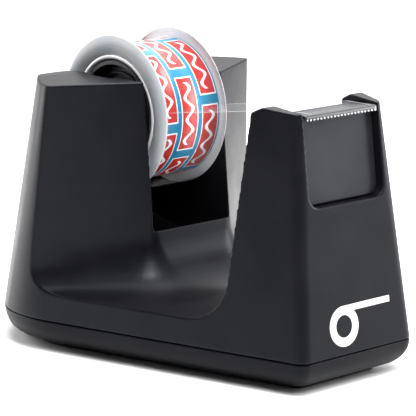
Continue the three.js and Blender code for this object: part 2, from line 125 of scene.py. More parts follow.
def run(start: Point, end: Point, steps: int) -> Outline:
    """Gives evenly spaced points on a straight line, its first point included and its last left out."""
    return [tuple(Vector(start).lerp(Vector(end), i / steps)) for i in range(steps)]


def edges_through(bm: BMesh, points: Iterable[Vector], closed: bool = True) -> list[BMEdge]:
    """Adds a row or a loop of edges through new vertices.

    Args:
        bm: Mesh that receives them.
        points: The corners in order.
        closed: Whether the last corner joins the first.

    Returns:
        The new edges.
    """
    corners = [bm.verts.new(p) for p in points]
    following = corners[1:] + corners[:1] if closed else corners[1:]
    return [bm.edges.new(pair) for pair in zip(corners, following)]


def prism(outline: Outline, axis: str, low: float, high: float) -> BMesh:
    """Extrudes an outline along one axis into a closed prism.

    Args:
        outline: Corners in the two other axes, in their alphabetical order.
        axis: The axis of extrusion, "x", "y" or "z".
        low: Start of the prism.
        high: End of the prism.

    Returns:
        The prism with its faces pointing outwards.
    """
    order = {"x": (2, 0, 1), "y": (0, 2, 1), "z": (0, 1, 2)}[axis]
    bm = bmesh.new()
    corners = ((a, b, low) for a, b in outline)
    edges = edges_through(bm, (Vector(tuple(c[i] for i in order)) for c in corners))
    bmesh.ops.contextual_create(bm, geom=edges)
    side = bmesh.ops.extrude_face_region(bm, geom=bm.faces[:])
    moved = [g for g in side["geom"] if isinstance(g, BMVert)]
    shift = Vector(tuple((0, 0, high - low)[i] for i in order))
    bmesh.ops.translate(bm, verts=moved, vec=shift)
    bmesh.ops.recalc_face_normals(bm, faces=bm.faces[:])
    return bm


def block(low: Sequence[float], high: Sequence[float]) -> BMesh:
    """Makes a rectangular block between two corners."""
    outline = [(low[0], low[1]), (high[0], low[1]), (high[0], high[1]), (low[0], high[1])]
    return prism(outline, "z", low[2], high[2])


def loft(levels: Sequence[tuple[float, Outline]]) -> BMesh:
    """Draws a closed skin upwards through outlines that have equal numbers of corners.

    Args:
        levels: Height and outline of each level, lowest first.

    Returns:
        The closed body with its faces pointing outwards.
    """
    bm = bmesh.new()
    height, outline = levels[0]
    edges = edges_through(bm, (Vector((x, y, height)) for x, y in outline))
    bmesh.ops.contextual_create(bm, geom=edges)
    place = {v: i for i, v in enumerate(bm.verts)}
    for height, outline in levels[1:]:
        drawn = bmesh.ops.extrude_edge_only(bm, edges=edges)["geom"]
        edges = [g for g in drawn if isinstance(g, BMEdge)]
        raised = [g for g in drawn if isinstance(g, BMVert)]
        risen = {}
        for vertex in raised:
            foot = next(e.other_vert(vertex) for e in vertex.link_edges if e.other_vert(vertex) in place)
            risen[vertex] = place[foot]
        for vertex, index in risen.items():
            vertex.co = Vector((*outline[index], height))
        place = risen
    bmesh.ops.contextual_create(bm, geom=edges)
    bmesh.ops.recalc_face_normals(bm, faces=bm.faces[:])
    return bm


def strip(row: Sequence[float], path: Outline) -> tuple[BMesh, list[BMVert]]:
    """Draws a row of points along Y through a path in X and Z.

    Args:
        row: Places of the points along Y.
        path: Places in X and Z that the row passes through.

    Returns:
        The open strip, and the vertices of its last row.
    """
    bm = bmesh.new()
    (x, z), *onwards = path
    edges = edges_through(bm, [Vector((x, y, z)) for y in row], closed=False)
    for x, z in onwards:
        drawn = bmesh.ops.extrude_edge_only(bm, edges=edges)["geom"]
        edges = [g for g in drawn if isinstance(g, BMEdge)]
        last = [g for g in drawn if isinstance(g, BMVert)]
        for vertex in last:
            vertex.co.x, vertex.co.z = x, z
    return bm, last


def spun(profile: Sequence[Point], centre: Vector, segments: int, axis: str = "y",
         closed: bool = True) -> BMesh:
    """Spins a section about a line along an axis.

    Args:
        profile: Corners of the section as radius and place along the line.
        centre: Point on the line.
        segments: Number of steps of the full turn.
        axis: The line's direction, "y" or "z".
        closed: Whether the section closes on itself; if not, it starts and ends on the line.

    Returns:
        The closed body with its faces pointing outwards.
    """
    bm = bmesh.new()
    way = {"y": Vector((0, 1, 0)), "z": Vector((0, 0, 1))}[axis]
    points = (centre + Vector((radius, 0, 0)) + way * along for radius, along in profile)
    edges = edges_through(bm, points, closed)
    bmesh.ops.spin(
        bm, geom=bm.verts[:] + edges, cent=centre, axis=way, angle=2 * math.pi,
        steps=segments, use_merge=True, use_duplicate=False,
    )
    bmesh.ops.remove_doubles(bm, verts=bm.verts[:], dist=1e-4)
    bmesh.ops.recalc_face_normals(bm, faces=bm.faces[:])
    return bm


def rod(start: Vector, end: Vector, radius: float, end_radius: float | None = None,
        segments: int = 32) -> BMesh:
    """Makes a cylinder or cone between two points.

    Args:
        start: Middle of the first end.
        end: Middle of the second end.
        radius: Radius at the first end.
        end_radius: Radius at the second end, the same if left out.
        segments: Number of sides.

    Returns:
        The closed body.
    """
    bm = bmesh.new()
    way = end - start
    turn = way.to_track_quat("Z", "Y").to_matrix().to_4x4()
    bmesh.ops.create_cone(
        bm, cap_ends=True, segments=segments, radius1=radius,
        radius2=radius if end_radius is None else end_radius, depth=way.length,
        matrix=Matrix.Translation((start + end) / 2) @ turn,
    )
    return bm


def bevelled(bm: BMesh, width: float, segments: int = 2) -> BMesh:
    """Rounds every edge whose faces meet at more than 30 degrees.

    Args:
        bm: Mesh to change.
        width: Width of the rounding.
        segments: Number of faces across it.

    Returns:
        The same mesh.
    """
    limit = math.radians(30.0)
    edges = [e for e in bm.edges if e.is_manifold and e.calc_face_angle(0.0) > limit]
    bmesh.ops.bevel(
        bm, geom=edges, offset=width, offset_type="OFFSET", affect="EDGES", segments=segments,
        profile=0.5, material=-1, clamp_overlap=True,
    )
    return bm


def make_object(name: str, bm: BMesh) -> bpy.types.Object:
    """Turns a mesh in millimetres into an object in metres, smooth shaded."""
    bmesh.ops.scale(bm, vec=(MM, MM, MM), verts=bm.verts[:])
    mesh = bpy.data.meshes.new(name)
    bm.to_mesh(mesh)
    bm.free()
    mesh.shade_smooth()
    made = bpy.data.objects.new(name, mesh)
    bpy.context.scene.collection.objects.link(made)
    return made


def freeze(target: bpy.types.Object) -> None:
    """Applies every modifier of an object to its mesh."""
    evaluated = target.evaluated_get(bpy.context.evaluated_depsgraph_get())
    shaped = bpy.data.meshes.new_from_object(evaluated)
    before = target.data
    target.modifiers.clear()
    target.data = shaped
    bpy.data.meshes.remove(before)
    shaped.name = target.name


def combine(target: bpy.types.Object, operand: BMesh | bpy.types.Object,
            cut: Cut = Cut.REMOVE) -> None:
    """Cuts or joins an object with a second body and applies the result.

    Args:
        target: Object to change.
        operand: Second body, an object or a mesh in millimetres; it is used up.
        cut: What to do with it.
    """
    tool = make_object("operand", operand) if isinstance(operand, BMesh) else operand
    step = target.modifiers.new("combine", "BOOLEAN")
    step.operation = cut.value
    step.solver = "EXACT"
    step.object = tool
    freeze(target)
    mesh = tool.data
    bpy.data.objects.remove(tool)
    bpy.data.meshes.remove(mesh)


def soften(target: bpy.types.Object, voxel: float, passes: int) -> None:
    """Gives a sharp body the small roundings of a moulding, and keeps its flat faces even.

    Args:
        target: Object to change.
        voxel: Size of the new faces in millimetres.
        passes: Number of smoothing passes.
    """
    remesh = target.modifiers.new("even", "REMESH")
    remesh.mode = "VOXEL"
    remesh.voxel_size = voxel * MM
    remesh.adaptivity = 0.0
    smooth = target.modifiers.new("round", "SMOOTH")
    smooth.factor = 0.5
    smooth.iterations = passes
    freeze(target)
    triangles = 2 * len(target.data.polygons)
    if triangles > TRIANGLE_LIMIT:
        thin = target.modifiers.new("thin", "DECIMATE")
        thin.ratio = TRIANGLE_LIMIT / triangles
        thin.use_collapse_triangulate = True
        freeze(target)
    target.data.shade_smooth()
    flat = target.modifiers.new("even_normals", "WEIGHTED_NORMAL")
    flat.keep_sharp = False
    flat.weight = FLAT_FACE_WEIGHT
    freeze(target)


# ------------------------------------------------------------------ finishes


class Nodes:
    """A short way to write one material's node tree."""

    def __init__(self, name: str) -> None:
        """Starts a material with one principled shader."""
        self.material = bpy.data.materials.new(name)
        self.material.use_nodes = True
        self.tree = self.material.node_tree
        self.shader = self.tree.nodes["Principled BSDF"]
        self.place = self.add("ShaderNodeTexCoord").outputs["Object"]

    def add(self, kind: str, **settings: object) -> bpy.types.Node:
        """Adds a node and sets its properties."""
        node = self.tree.nodes.new(kind)
        for key, value in settings.items():
            setattr(node, key, value)
        return node

    def feed(self, socket: bpy.types.NodeSocket, value: object) -> None:
        """Links an output to a socket, or sets the socket to a plain value."""
        if isinstance(value, bpy.types.NodeSocket):
            self.tree.links.new(value, socket)
        else:
            socket.default_value = value

    def surface(self, **inputs: object) -> None:
        """Sets inputs of the principled shader; an underscore in a name stands for a space."""
        for key, value in inputs.items():
            self.feed(self.shader.inputs[key.replace("_", " ")], value)

    def maths(self, operation: str, *values: object) -> bpy.types.NodeSocket:
        """Adds a maths node on up to three values and returns its result."""
        node = self.add("ShaderNodeMath", operation=operation)
        for socket, value in zip(node.inputs, values):
            self.feed(socket, value)
        return node.outputs["Value"]

    def noise(self, size: float, detail: float = 2.0, place: object = None) -> bpy.types.NodeSocket:
        """Gives a grey noise whose spots are about as large as size, in millimetres."""
        node = self.add("ShaderNodeTexNoise")
        self.feed(node.inputs["Vector"], place or self.place)
        node.inputs["Scale"].default_value = 1 / (size * MM)
        node.inputs["Detail"].default_value = detail
        return node.outputs["Fac"]

    def spread(self, value: object, low: float, high: float, start: float = 0.3,
               end: float = 0.7) -> bpy.types.NodeSocket:
        """Maps a value from one span to another.

        Args:
            value: Output to map.
            low: Result at the start of the span.
            high: Result at its end.
            start: Start of the span.
            end: End of the span.

        Returns:
            The mapped value, held at both ends.
        """
        node = self.add("ShaderNodeMapRange", clamp=True)
        for key, setting in (("Value", value), ("From Min", start), ("From Max", end),
                             ("To Min", low), ("To Max", high)):
            self.feed(node.inputs[key], setting)
        return node.outputs["Result"]

    def tint(self, share: object, first: object, second: object) -> bpy.types.NodeSocket:
        """Mixes two colours by a share from 0 to 1."""
        node = self.add("ShaderNodeMix", data_type="RGBA")
        self.feed(node.inputs["Factor"], share)
        for socket, colour in ((node.inputs[6], first), (node.inputs[7], second)):
            self.feed(socket, colour if isinstance(colour, bpy.types.NodeSocket) else (*colour, 1.0))
        return node.outputs[2]

    def relief(self, height: object, depth: float, strength: float = 1.0) -> None:
        """Gives the surface a fine relief of a depth in millimetres."""
        node = self.add("ShaderNodeBump")
        node.inputs["Strength"].default_value = strength
        node.inputs["Distance"].default_value = depth * MM
        self.feed(node.inputs["Height"], height)
        self.feed(self.shader.inputs["Normal"], node.outputs["Normal"])

    def about(self, centre: Vector) -> bpy.types.NodeSocket:
        """Gives the place measured from a point in millimetres."""
        node = self.add("ShaderNodeMapping")
        self.feed(node.inputs["Vector"], self.place)
        node.inputs["Location"].default_value = -centre * MM
        return node.outputs["Vector"]

    def split(self, place: bpy.types.NodeSocket) -> tuple[bpy.types.NodeSocket, ...]:
        """Splits a place into its three numbers."""
        node = self.add("ShaderNodeSeparateXYZ")
        self.feed(node.inputs["Vector"], place)
        return tuple(node.outputs)


Colour = tuple[float, float, float]
# A cool tint on all of the plastic's reflections: painted light colour, since the lamps are white.
PAINTED_LIGHT_TINT = (0.84, 0.88, 1.0, 1.0)


@dataclass(frozen=True)
class MouldedPlastic:
    """Moulded plastic with a fine eroded grain, slightly uneven gloss and a painted cool tint on its
    reflections.
    """

    name: str
    colour: Colour
    roughness: float
    grain: float = 0.22
    grain_depth: float = 0.012
    gloss: float = 0.5
    uneven: float = 0.03

    def material(self) -> bpy.types.Material:
        """Builds the finish."""
        nodes = Nodes(self.name)
        cloud = nodes.noise(size=9.0, detail=3.0)
        speck = nodes.noise(size=0.5)
        lighter = tuple(min(1.0, c * 1.25 + 0.001) for c in self.colour)
        darker = tuple(c * 0.85 for c in self.colour)
        colour = nodes.tint(nodes.spread(cloud, 0.0, 1.0), darker, lighter)
        roughness = nodes.maths(
            "ADD",
            nodes.spread(cloud, self.roughness - self.uneven, self.roughness + self.uneven),
            nodes.spread(speck, -self.uneven, self.uneven),
        )
        nodes.surface(Base_Color=colour, Roughness=roughness, Specular_IOR_Level=self.gloss,
                      Specular_Tint=PAINTED_LIGHT_TINT)
        nodes.relief(nodes.noise(self.grain), self.grain_depth)
        return nodes.material


@dataclass(frozen=True)
class Metal:
    """Steel with a drawn or cast surface, and above a height a darker colour that is painted shade."""

    name: str
    colour: Colour
    roughness: float
    streak: Vector
    relief: float = 0.004
    painted_shade_from: float = -1.0
    painted_shade_factor: float = 0.12
    dark_streak: float = 0.86
    painted_shade_edge: float = 0.1

    def material(self) -> bpy.types.Material:
        """Builds the finish."""
        nodes = Nodes(self.name)
        stretch = nodes.add("ShaderNodeMapping")
        nodes.feed(stretch.inputs["Vector"], nodes.place)
        stretch.inputs["Scale"].default_value = self.streak
        lines = nodes.noise(0.25, 3.0, stretch.outputs["Vector"])
        streaked = tuple(c * self.dark_streak for c in self.colour)
        colour = nodes.tint(nodes.spread(lines, 0.0, 1.0), streaked, self.colour)
        # Above the height the colour is darkened: painted shade, not unground steel.
        if self.painted_shade_from > 0:
            height = nodes.split(nodes.place)[2]
            above = nodes.spread(height, 0.0, 1.0, self.painted_shade_from * MM,
                                 (self.painted_shade_from + self.painted_shade_edge) * MM)
            colour = nodes.tint(above, colour, tuple(c * self.painted_shade_factor for c in self.colour))
        nodes.surface(
            Base_Color=colour, Metallic=1.0,
            Roughness=nodes.spread(lines, self.roughness * 0.8, self.roughness * 1.3),
        )
        nodes.relief(lines, self.relief)
        return nodes.material


@dataclass(frozen=True)
class WoundFilm:
    """The cut edge of hundreds of turns of clear film: milky, with rings about the axle, and a faint
    painted glow.
    """

    name: str
    colour: Colour
    centre: Vector
    painted_glow: float = 0.08
    rings_per_metre: float = 2600.0
    cool: Colour = (0.86, 0.9, 1.0)
    ring_shade: float = 0.72

    def material(self) -> bpy.types.Material:
        """Builds the finish."""
        nodes = Nodes(self.name)
        x, _, z = nodes.split(nodes.about(self.centre))
        radius = nodes.maths("SQRT", nodes.maths("ADD", nodes.maths("MULTIPLY", x, x),
                                                 nodes.maths("MULTIPLY", z, z)))
        turns = nodes.add("ShaderNodeTexNoise", noise_dimensions="1D")
        nodes.feed(turns.inputs["W"], radius)
        turns.inputs["Scale"].default_value = self.rings_per_metre
        turns.inputs["Detail"].default_value = 3.0
        rings = turns.outputs["Fac"]
        cloud = nodes.noise(size=6.0, detail=3.0)
        cool = nodes.tint(nodes.spread(cloud, 0.0, 1.0), self.colour,
                          tuple(c * share for c, share in zip(self.colour, self.cool)))
        shaded = tuple(c * self.ring_shade for c in self.colour)
        colour = nodes.tint(nodes.spread(rings, 0.0, 0.5), cool, shaded)
        # The emission makes the film glow though it is no lamp: painted light.
        nodes.surface(
            Base_Color=colour, Roughness=nodes.spread(rings, 0.26, 0.4),
            Subsurface_Weight=0.25, Subsurface_Scale=1.5 * MM, IOR=1.47,
            Emission_Color=cool, Emission_Strength=self.painted_glow,
        )
        nodes.relief(rings, 0.02, 0.6)
        return nodes.material


@dataclass(frozen=True)
class ClearFilm:
    """Clear glossy film that lets the print show through, whiter along its two cut edges."""

    name: str
    colour: Colour
    cover: float
    edge_cover: float
    slant_cover: float
    half_width: float
    gloss: float = 0.3
    edge_start: float = 0.45
    edge_full: float = 0.15
    edge_colour: Colour = (0.8, 0.81, 0.83)

    def material(self) -> bpy.types.Material:
        """Builds the finish."""
        nodes = Nodes(self.name)
        _, y, _ = nodes.split(nodes.place)
        side = nodes.maths("ABSOLUTE", y)
        edge = nodes.spread(side, 0.0, 1.0, (self.half_width - self.edge_start) * MM,
                            (self.half_width - self.edge_full) * MM)
        cloud = nodes.spread(nodes.noise(5.0, 2.0), -0.4, 0.4)
        cover = nodes.maths("MULTIPLY", nodes.maths("ADD", cloud, 1.0), self.cover)
        slant = nodes.add("ShaderNodeLayerWeight")
        slant.inputs["Blend"].default_value = 0.35
        haze = nodes.spread(slant.outputs["Facing"], 0.0, self.slant_cover, 0.5, 0.88)
        alpha = nodes.maths("MAXIMUM", nodes.maths("ADD", cover, haze),
                            nodes.maths("MULTIPLY", edge, self.edge_cover))
        nodes.surface(
            Base_Color=nodes.tint(edge, self.colour, self.edge_colour),
            Alpha=alpha, Roughness=nodes.spread(nodes.noise(2.0), 0.08, 0.16), IOR=1.4,
            Specular_IOR_Level=self.gloss,
        )
        nodes.relief(nodes.noise(7.0, 1.0), 0.03, 0.4)
        return nodes.material


@dataclass(frozen=True)
class PrintedBand:
    """A repeated plain pattern of framed bars on a coloured ground, printed round a cylinder, with a faint
    painted glow.
    """

    name: str
    ground: Colour
    bar: Colour
    frame: Colour
    centre: Vector
    half_width: float
    repeats: int = 5
    columns: int = 3
    waves: int = 4
    painted_glow: float = 0.06
    stagger: float = 0.36
    start: float = 0.1
    frame_reach: Point = (0.445, 0.405)
    bar_reach: Point = (0.427, 0.36)
    wave_reach: Point = (0.375, 0.4)
    wave_height: float = 0.16
    wave_weight: float = 0.075
    worn_share: float = 0.04
    worn_colour: Colour = (0.7, 0.72, 0.75)

    def material(self) -> bpy.types.Material:
        """Builds the finish."""
        nodes = Nodes(self.name)
        x, y, z = nodes.split(nodes.about(self.centre))
        turn = nodes.maths("DIVIDE", nodes.maths("ARCTAN2", z, x), 2 * math.pi)
        across = nodes.spread(y, 0.0, float(self.columns), -self.half_width * MM, self.half_width * MM)
        column = nodes.maths("FLOOR", across)
        along = nodes.maths("FRACT", nodes.maths(
            "MULTIPLY_ADD", turn, float(self.repeats),
            nodes.maths("MULTIPLY_ADD", column, self.stagger, float(self.repeats) + self.start)))
        from_middle = nodes.maths("ABSOLUTE", nodes.maths("SUBTRACT", along, 0.5))
        off_line = nodes.maths("SUBTRACT", nodes.maths("FRACT", across), 0.5)
        from_line = nodes.maths("ABSOLUTE", off_line)

        def inside(reach: Point) -> bpy.types.NodeSocket:
            """Gives 1 within a rectangle about the cell's middle."""
            return nodes.maths(
                "MULTIPLY", nodes.maths("LESS_THAN", from_middle, reach[0]),
                nodes.maths("LESS_THAN", from_line, reach[1]))

        wave = nodes.maths("MULTIPLY", nodes.maths("SINE", nodes.maths(
            "MULTIPLY", along, 2 * math.pi * self.waves)), self.wave_height)
        line = nodes.maths("ABSOLUTE", nodes.maths("SUBTRACT", off_line, wave))
        wavy = nodes.maths("MULTIPLY", nodes.maths("LESS_THAN", line, self.wave_weight),
                           inside(self.wave_reach))
        colour = nodes.tint(inside(self.frame_reach), self.ground, self.frame)
        colour = nodes.tint(inside(self.bar_reach), colour, self.bar)
        colour = nodes.tint(wavy, colour, self.frame)
        worn = nodes.spread(nodes.noise(size=1.2, detail=3.0), 0.0, self.worn_share)
        # The print's colours also glow through emission: painted light, the print is no lamp.
        nodes.surface(Base_Color=nodes.tint(worn, colour, self.worn_colour),
                      Roughness=nodes.spread(nodes.noise(3.0), 0.3, 0.42),
                      Emission_Color=colour, Emission_Strength=self.painted_glow)
        nodes.relief(nodes.noise(0.3), 0.004)
        return nodes.material


@dataclass(frozen=True)
class PaleFloor:
    """Plain matt floor."""

    name: str
    colour: Colour

    def material(self) -> bpy.types.Material:
        """Builds the finish."""
        nodes = Nodes(self.name)
        share = nodes.spread(nodes.noise(40.0), 0.0, 1.0)
        nodes.surface(Base_Color=nodes.tint(share, self.colour, tuple(c * 0.99 for c in self.colour)),
                      Roughness=nodes.spread(share, 0.85, 0.95), Specular_IOR_Level=0.2)
        return nodes.material


class Palette:
    """Builds each finish once."""

    def __init__(self, axle: Vector, tape_half: float) -> None:
        """Makes every material of the dispenser.

        Args:
            axle: Middle of the axle, which the roll's finishes turn about.
            tape_half: Half of the tape's width.
        """
        self.body = MouldedPlastic("charcoal_body", (0.0045, 0.0046, 0.0062), 0.34, gloss=0.13).material()
        self.base = MouldedPlastic("charcoal_base", (0.0045, 0.0045, 0.006), 0.38, gloss=0.1).material()
        self.panel = MouldedPlastic("charcoal_panel", (0.012, 0.012, 0.015), 0.34, grain=0.18,
                                    grain_depth=0.009, gloss=0.22).material()
        self.hub = MouldedPlastic("black_hub", (0.008, 0.008, 0.009), 0.42).material()
        self.rubber = MouldedPlastic("rubber_foot", (0.012, 0.012, 0.013), 0.85, grain=0.5,
                                     grain_depth=0.05, gloss=0.3).material()
        self.core = MouldedPlastic("white_core", (0.82, 0.82, 0.84), 0.32, grain=0.6,
                                   grain_depth=0.01).material()
        self.mark = MouldedPlastic("white_mark", (0.86, 0.86, 0.87), 0.4, grain=0.3,
                                   grain_depth=0.003).material()
        # The blade is darkened above 59.95 mm: painted shade on everything but the tips of its teeth.
        self.blade = Metal("blade_steel", (0.8, 0.81, 0.83), 0.28, Vector((8.0, 1.0, 8.0)),
                           painted_shade_from=59.95).material()
        self.screw = Metal("screw_steel", (0.62, 0.62, 0.65), 0.3, Vector((1.0, 1.0, 4.0))).material()
        self.ballast = Metal("ballast_steel", (0.26, 0.26, 0.28), 0.5, Vector((1.0, 1.0, 1.0)),
                             relief=0.03).material()
        self.wound = WoundFilm("wound_film", (0.56, 0.575, 0.585), axle).material()
        self.film = ClearFilm("clear_film", (0.36, 0.37, 0.38), cover=0.01, edge_cover=0.65,
                              slant_cover=0.85, half_width=tape_half, gloss=0.2).material()
        self.tail = ClearFilm("tape_tail_film", (0.4, 0.41, 0.44), cover=0.03, edge_cover=0.5,
                              slant_cover=0.05, half_width=tape_half, gloss=0.08).material()
        self.print = PrintedBand("printed_band", (0.0, 0.2, 0.37), (0.5, 0.012, 0.007),
                                 (0.86, 0.87, 0.9), axle, tape_half).material()
        self.floor = PaleFloor("pale_floor", (0.93, 0.93, 0.93)).material()


def place_piece(piece: bpy.types.Object, body: Body, material: bpy.types.Material,
                stands_for: Sequence[str] = ()) -> bpy.types.Object:
    """Dresses a piece and says what it rides on and stands for.

    Args:
        piece: The finished object.
        body: Body that it moves with.
        material: Its finish.
        stands_for: CAD nodes that it takes the place of.

    Returns:
        The same object.
    """
    if not piece.data.materials:
        piece.data.materials.append(material)
    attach(piece, body.value)
    if stands_for:
        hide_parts(*stands_for)
    LOG.info("%s rides on %s, %d faces", piece.name, body.value, len(piece.data.polygons))
    return piece


# ------------------------------------------------------------------ the body's plan


@dataclass(frozen=True)
class Faces:
    """The body's faces at one height: a straight side and a round rear end."""

    normal: Vector
    reach: float
    centre: float
    radius: float
    corner_x: float

    @property
    def along(self) -> Vector:
        """Gives the direction of the side, rearwards."""
        return Vector((-self.normal.y, self.normal.x))

    @property
    def corner(self) -> Vector:
        """Gives the rear corner of the side."""
        return self.side_at(self.corner_x)

    def side_at(self, x: float) -> Vector:
        """Gives the side's point at a place along X."""
        return Vector((x, (self.reach - self.normal.x * x) / self.normal.y))

    def rear_at(self, turn: float) -> Vector:
        """Gives a point of the round rear end."""
        return Vector((self.centre + self.radius * math.cos(turn), self.radius * math.sin(turn)))

    def haunch(self, joint_turn: float, steps: int) -> Outline:
        """Gives the curve from the side's rear corner to the round rear end.

        Args:
            joint_turn: Angle at which it joins the round end.
            steps: Number of steps along it.

        Returns:
            The points, both ends included.
        """
        joint = self.rear_at(joint_turn)
        corner_turn = math.atan2(self.corner.y, self.corner.x - self.centre)
        pull = self.radius * math.tan((joint_turn - corner_turn) / 2)
        control = joint + Vector((math.sin(joint_turn), -math.cos(joint_turn))) * pull
        return blend(tuple(self.corner), tuple(control), tuple(joint), steps)


@dataclass(frozen=True)
class Plan:
    """The body's outline: narrow in front, sides that widen rearwards, and a round rear end."""

    seam: float = 7.6
    front: float = 51.8
    front_half: float = 17.5
    side_angle: float = math.radians(14)
    side_turn: float = math.radians(0.0456)
    rear_centre: float = -14.1
    rear_radius: float = 37.7
    front_draft: float = 0.123
    front_half_draft: float = 0.0775
    rear_draft: float = 0.161
    round_start: float = math.radians(135)
    corner_x: float = -24.0
    corner_lean: float = 0.0985
    front_corner: float = 2.4
    rear_corner: float = 8.0
    rear_corner_draft: float = 0.09

    def front_at(self, height: float) -> float:
        """Gives where the front face stands at a height."""
        return self.front - self.front_draft * (height - self.seam)

    def faces(self, height: float, inset: float = 0.0) -> Faces:
        """Gives the side face and the round rear end at a height.

        Args:
            height: Height above the table.
            inset: How far they are moved inwards.

        Returns:
            The faces.
        """
        rise = height - self.seam
        angle = self.side_angle + self.side_turn * rise
        normal = Vector((math.sin(angle), math.cos(angle)))
        front = Vector((self.front_at(height), self.front_half - self.front_half_draft * rise))
        radius = self.rear_radius - self.rear_draft * rise - inset
        return Faces(normal, normal.dot(front) - inset, self.rear_centre, radius,
                     self.corner_x + self.corner_lean * rise)

    def outline(self, height: float, inset: float = 0.0) -> Outline:
        """Gives the outline at a height.

        Args:
            height: Height above the table.
            inset: How far it is moved inwards.

        Returns:
            Corners in X and Y, anticlockwise from the front.
        """
        faces = self.faces(height, inset)
        front = self.front_at(height) - inset
        near, far = faces.side_at(front), faces.corner
        rounding = self.rear_corner - self.rear_corner_draft * (height - self.seam)
        fine, coarse = 60, 16
        curve = faces.haunch(self.round_start, fine)
        start = min(range(len(curve)), key=lambda i: abs((Vector(curve[i]) - far).length - rounding))
        left = [curve[start + round((fine - start) * i / coarse)] for i in range(coarse + 1)]
        turned, reached = near + faces.along * self.front_corner, far - faces.along * rounding
        half = blend((front, near.y - self.front_corner), tuple(near), tuple(turned), steps=8)[:-1]
        half += run(tuple(turned), tuple(reached), steps=20)
        half += blend(tuple(reached), tuple(far), left[0], steps=14)
        half += left[1:]
        half += [tuple(faces.rear_at(self.round_start + (math.pi - self.round_start) * i / coarse))
                 for i in range(1, coarse + 1)]
        return half + [(x, -y) for x, y in reversed(half[:-1])]


# ------------------------------------------------------------------ housing


